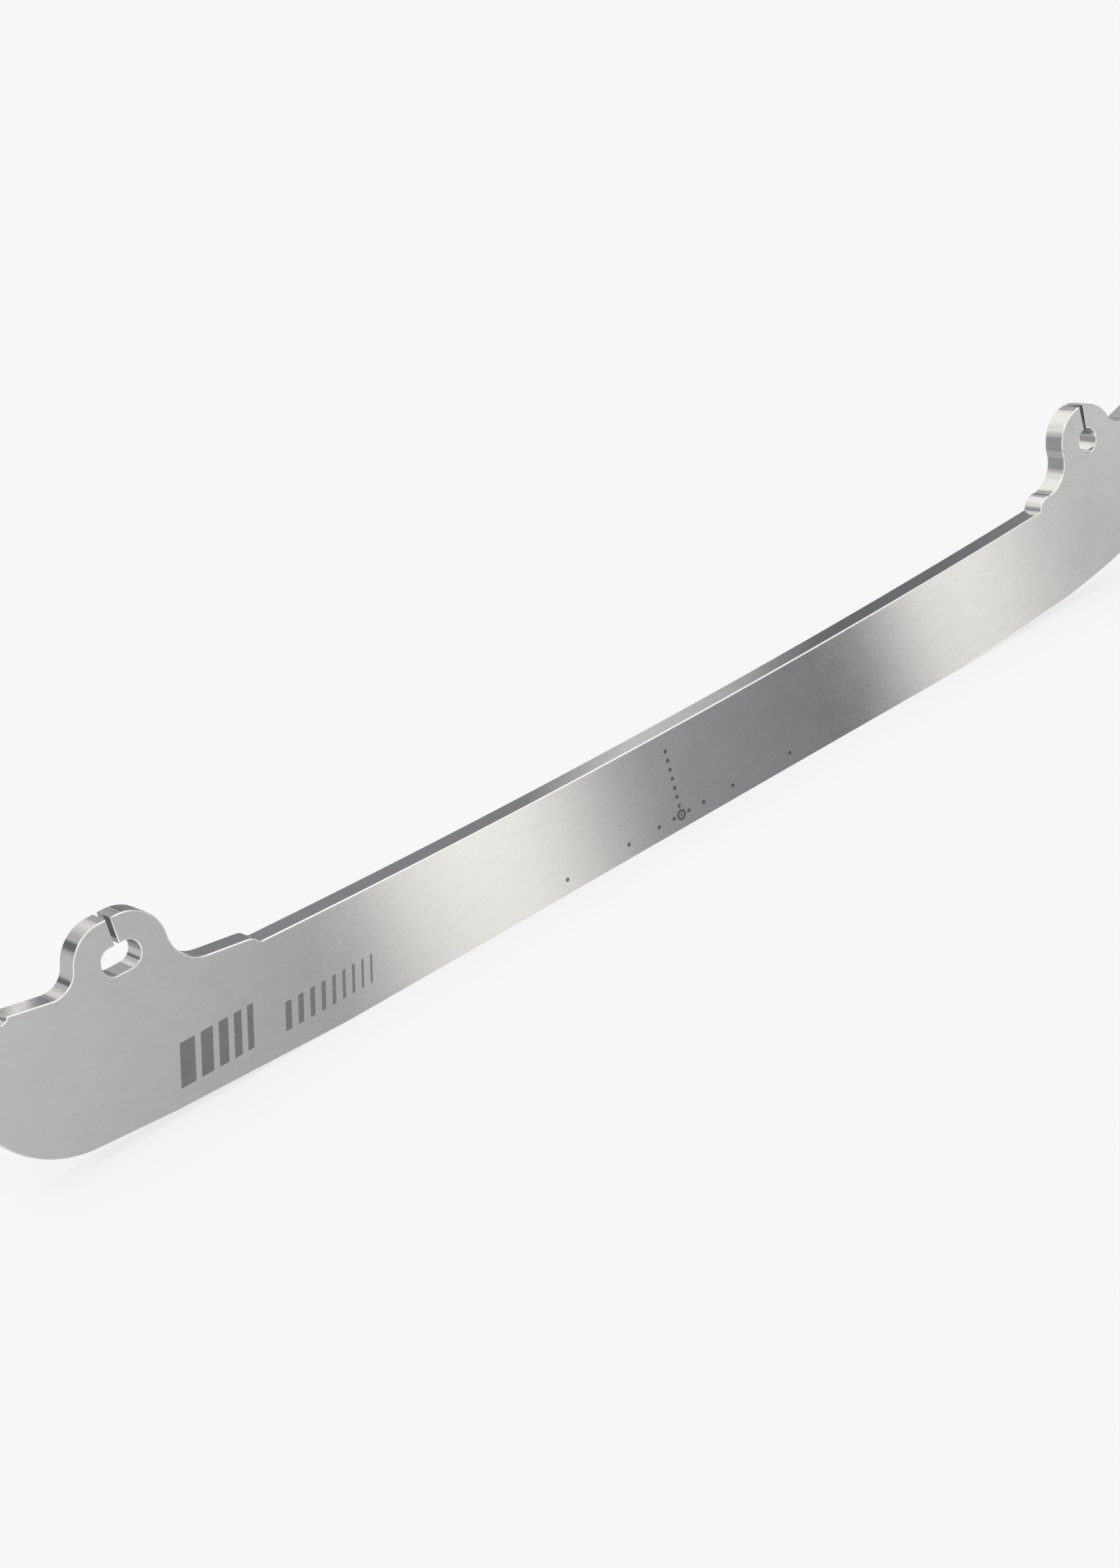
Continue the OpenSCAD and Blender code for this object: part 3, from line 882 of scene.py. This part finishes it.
def seen(value):
    """The light level that shows as a display value from 0 to 255: the standard curve, undone."""
    v = np.asarray(value, float) / 255
    return np.where(v <= 0.04045, v / 12.92, ((v + 0.055) / 1.055) ** 2.4)


# Tints of bright and of dark panels as changes of their display values, the value from which each grows, and over
# how many values it grows to its full
WARM = np.array([2.0, 0.0, -5.0])
WARM_FROM = 185
WARM_OVER = 40
COOL = np.array([-1.0, 0.0, 2.0])
COOL_FROM = 165
COOL_OVER = 20


def panel(value):
    """Light of a panel that shows as the grey value: bright panels are a little warm, dark ones a little cool."""
    warm = np.clip((value - WARM_FROM) / WARM_OVER, 0, 1)
    cool = np.clip((COOL_FROM - value) / COOL_OVER, 0, 1)
    return seen(value + warm * WARM + cool * COOL)


# Light as the display value that the steel shows when it reflects it: first by height above the horizon in
# degrees, then in four bands, each by the way round from the toe in degrees, the same before and behind the blade
SKY_BY_HEIGHT = [
    (-90, 100), (-45, 102), (-28, 114), (-20, 135), (-14, 140), (0, 140), (15, 126), (22, 132), (28, 164),
    (34, 194), (42, 228), (48, 234), (56, 246), (64, 226), (76, 206), (90, 200),
]
LOW_PANELS = [
    (0, 150), (20, 172), (40, 202), (44, 188), (46, 170), (47.5, 228), (49, 239), (50, 170), (51, 86), (52.5, 127),
    (56, 140), (58, 227), (59.2, 240), (61, 226), (62.9, 148), (64.5, 164), (72, 182), (80, 160), (98, 106),
    (112, 138), (128, 136), (135, 162), (180, 165),
]
MID_PANELS = [
    (0, 165), (38, 186), (48, 155), (56, 125), (62.7, 112), (64.2, 142), (90, 160), (108, 142), (117, 140),
    (119.4, 177), (123, 186), (128, 168), (132, 142), (180, 160),
]
HIGH_PANELS = [
    (0, 130), (40, 150), (44, 148), (47.5, 129), (49.5, 107), (52.3, 101), (53.7, 164), (55.5, 188), (56.6, 165),
    (57.6, 122), (64.5, 132), (68, 160), (72, 206), (77, 222), (90, 212), (102, 176), (111, 100), (116.6, 106),
    (118.5, 156), (122, 192), (129, 206), (133, 172), (136, 120), (180, 130),
]
UPPER_PANELS = [
    (0, 150), (45, 150), (48.5, 137), (50.2, 178), (56.5, 154), (60, 194), (63, 210), (83, 207), (103, 168),
    (118, 216), (126, 222), (131, 190), (180, 170),
]

# The bands, lowest first: each band's panels, and the heights in degrees at which it fades in and out
BANDS = (
    (LOW_PANELS, (-33, -27, -16, -11)),
    (MID_PANELS, (-15, -10, 13.5, 18)),
    (HIGH_PANELS, (13.5, 18, 23, 28)),
    (UPPER_PANELS, (23, 28, 35, 42)),
)

# The low glow in front of the blade, by the heights at which it fades in and out; the bright patches beside it, each
# by the degrees round and then the heights at which it fades; their display value; and how much of them shows
GLOW_HEIGHTS = (-76, -60, -36, -31)
FRONT_GLOWS = (
    ((47, 51, 66, 73), (-12, -8, 38, 46)),
    ((73, 84, 166, 176), (-34, -31, -18.5, -15.5)),
    ((88, 98, 168, 178), (-13, -9, 22, 32)),
)
GLOW = 236
GLOW_SHARE = 0.9

# Patches behind the blade, given in the same way, with their display values: a dark one that the slits' walls
# pass between them, and a thin streak on the heel's top edge
BACK_PATCHES = (
    ((38, 43, 71, 77), (-34, -29, -19, -16), 96),
    ((62.95, 63.2, 63.25, 63.75), (9, 12, 17, 20), 222),
)

# How far forward or back a direction points where what lies in front or behind starts to show, and shows in full
FACING = (0.02, 0.2)

# How the low bands lean: the way round and the height of the face's middle in degrees and its fall per degree, how
# far the bands shift per degree of height above it and up to how many degrees, their brightness at the middle and
# how much it grows per degree, and the heights between which it does
FACE_ROUND = 45
FACE_UP = -19.65
FACE_FALL = 0.25
BAND_SHIFT = -0.1
LEAN_LIMIT = 2.0
BAND_LEVEL = 0.996
BAND_GAIN = 0.042
LEAN_HEIGHTS = (-30, -26, -17, -14)

# Light level that a ramp's full colour stands for, because its colours end at 1
RAMP_TOP = 1.25

# Corners of the floor's grid along each side, and how far the floor lies under the blade
FLOOR_CORNERS = 9
FLOOR_DROP = 0.01 * MM


class SKATE_OT_stage(Operator):
    """Lay the pale floor, light it softly and set up the camera"""

    bl_idname = "skate.stage"
    bl_label = "Studio"

    def execute(self, context):
        studio = context.scene.skate_studio
        self.lay_floor(studio)
        self.hang_light(context, studio, tuple(context.scene.skate_finish.steel))
        self.set_camera(context, studio)
        context.scene.view_settings.view_transform = "Standard"
        return {"FINISHED"}

    def lay_floor(self, studio):
        """A flat grid of two parameters, each running over the floor's width."""
        run = np.linspace(-0.5, 0.5, FLOOR_CORNERS) * studio.floor_w
        x, y = np.meshgrid(run, run, indexing="ij")
        points = np.stack([x, y, np.full_like(x, -FLOOR_DROP)], axis=-1)
        index = np.arange(x.size).reshape(x.shape)
        quads = np.stack([index[:-1, :-1], index[1:, :-1], index[1:, 1:], index[:-1, 1:]], axis=-1)
        mesh = bpy.data.meshes.new("floor")
        mesh.from_pydata(points.reshape(-1, 3), [], quads.reshape(-1, 4).tolist())
        material = blank_material("pale floor")
        tree = material.node_tree
        seen_directly = put(tree, "ShaderNodeLightPath").outputs["Is Camera Ray"]
        from_below = put(tree, "ShaderNodeNewGeometry").outputs["Backfacing"]
        paint = put(tree, "ShaderNodeBsdfDiffuse", {"Color": (*studio.floor, 1.0)}).outputs[0]
        glow = put(tree, "ShaderNodeEmission", {"Color": (*studio.glow, 1.0), "Strength": 1.0}).outputs[0]
        clear = put(tree, "ShaderNodeBsdfTransparent").outputs[0]
        glowing = sums(tree, "MULTIPLY", seen_directly, studio.glow_share)
        evened = put(tree, "ShaderNodeMixShader", {0: glowing, 1: paint, 2: glow}).outputs[0]
        sided = put(tree, "ShaderNodeMixShader", {0: from_below, 1: evened, 2: clear}).outputs[0]
        put(tree, "ShaderNodeOutputMaterial", {"Surface": sided})
        floor = piece("floor", mesh, [material])
        floor.visible_glossy = False
        floor.visible_shadow = False
        floor.visible_diffuse = False

    def hang_light(self, context, studio, steel):
        """Soft panels all round, as a light level for each direction: by its height, and by its way round.

        The level over the steel's own grey is the light that the steel has to reflect to show as that level.
        """
        world = bpy.data.worlds.new("soft studio")
        context.scene.world = world
        world.use_nodes = True
        tree = world.node_tree
        tree.nodes.clear()
        generated = put(tree, "ShaderNodeTexCoord").outputs["Generated"]
        x, y, z = put(tree, "ShaderNodeSeparateXYZ", {0: generated}).outputs
        round_share = sums(tree, "DIVIDE", sums(tree, "ARCTAN2", sums(tree, "ABSOLUTE", y), x), np.pi)
        degrees = sums(tree, "MULTIPLY", round_share, 180)
        up = sums(tree, "MULTIPLY", sums(tree, "ARCSINE", z), 180 / np.pi)
        up_share = sums(tree, "MULTIPLY_ADD", up, 1 / 180, 0.5)
        front = eased(tree, y, *(-push for push in FACING))
        back = eased(tree, y, *FACING)
        level = float(np.mean(steel)) * RAMP_TOP

        def light(value):
            """The colour that stands for a display value, as a share of the ramps' top level."""
            return tuple(panel(value) / level)

        middle = sums(tree, "MULTIPLY_ADD", sums(tree, "SUBTRACT", degrees, FACE_ROUND), FACE_FALL, -FACE_UP)
        above = sums(tree, "MINIMUM", sums(tree, "ADD", up, middle), LEAN_LIMIT)
        above = sums(tree, "MAXIMUM", above, -LEAN_LIMIT)
        leaning = sums(tree, "MULTIPLY_ADD", above, BAND_SHIFT / 180, round_share)
        lit = ramp(tree, up_share, [((angle + 90) / 180, light(value)) for angle, value in SKY_BY_HEIGHT])
        for stops, heights in BANDS:
            place = leaning if stops is LOW_PANELS else round_share
            colours = ramp(tree, place, [(angle / 180, light(value)) for angle, value in stops])
            lit = blended(tree, faded(tree, up, heights), lit, colours)

        glow = faded(tree, up, GLOW_HEIGHTS)
        for around, heights in FRONT_GLOWS:
            spot = sums(tree, "MULTIPLY", faded(tree, degrees, around), faded(tree, up, heights))
            glow = sums(tree, "MAXIMUM", glow, spot)
        glow = sums(tree, "MULTIPLY", sums(tree, "MULTIPLY", glow, front), GLOW_SHARE)
        lit = blended(tree, glow, lit, light(GLOW))
        for around, heights, value in BACK_PATCHES:
            spot = sums(tree, "MULTIPLY", faded(tree, degrees, around), faded(tree, up, heights))
            lit = blended(tree, sums(tree, "MULTIPLY", spot, back), lit, light(value))

        gain = sums(tree, "MULTIPLY_ADD", above, BAND_GAIN, BAND_LEVEL)
        gain = sums(tree, "SUBTRACT", gain, 1.0)
        gain = sums(tree, "MULTIPLY_ADD", gain, faded(tree, up, LEAN_HEIGHTS), 1.0)
        strength = sums(tree, "MULTIPLY", gain, RAMP_TOP)
        panels = put(tree, "ShaderNodeBackground", {"Color": lit, "Strength": strength}).outputs[0]
        plain = put(tree, "ShaderNodeBackground", {"Color": (*studio.backdrop, 1.0), "Strength": 1.0}).outputs[0]
        seen_directly = put(tree, "ShaderNodeLightPath").outputs["Is Camera Ray"]
        chosen = put(tree, "ShaderNodeMixShader", {0: seen_directly, 1: panels, 2: plain}).outputs[0]
        put(tree, "ShaderNodeOutputWorld", {"Surface": chosen})

    def set_camera(self, context, studio):
        """The camera at the photograph's place, turned as it was."""
        data = bpy.data.cameras.new("camera")
        data.sensor_width = 36.0
        data.lens = studio.lens
        data.clip_start = 0.01
        data.clip_end = 100.0
        camera = bpy.data.objects.new("camera", data)
        context.scene.collection.objects.link(camera)
        camera.location = studio.place
        camera.rotation_euler = studio.turn
        context.scene.camera = camera


class SKATE_PT_panel(Panel):
    """Sizes, colours and the steps that build the blade"""

    bl_idname = "SKATE_PT_panel"
    bl_label = "Hockey skate blade"
    bl_space_type = "VIEW_3D"
    bl_region_type = "UI"
    bl_category = "Skate blade"

    def draw(self, context):
        for operator in STEPS:
            self.layout.operator(operator.bl_idname)
        for name, group in GROUPS.items():
            box = self.layout.box()
            box.label(text=group.__doc__)
            values = getattr(context.scene, name)
            for key in group.__annotations__:
                box.prop(values, key)


GROUPS = {
    "skate_runner": RunnerSizes,
    "skate_marks": MarkSizes,
    "skate_finish": Finish,
    "skate_studio": Studio,
}
STEPS = (SKATE_OT_runner, SKATE_OT_marks, SKATE_OT_stage)
CLASSES = (*GROUPS.values(), *STEPS, SKATE_PT_panel)


def register():
    for cls in CLASSES:
        bpy.utils.register_class(cls)
    for name, group in GROUPS.items():
        setattr(bpy.types.Scene, name, PointerProperty(type=group))


def unregister():
    for name in GROUPS:
        delattr(bpy.types.Scene, name)
    for cls in reversed(CLASSES):
        bpy.utils.unregister_class(cls)


def main():
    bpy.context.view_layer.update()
    register()
    bpy.ops.skate.runner()
    bpy.ops.skate.marks()
    bpy.ops.skate.stage()


if __name__ == "__main__":
    main()
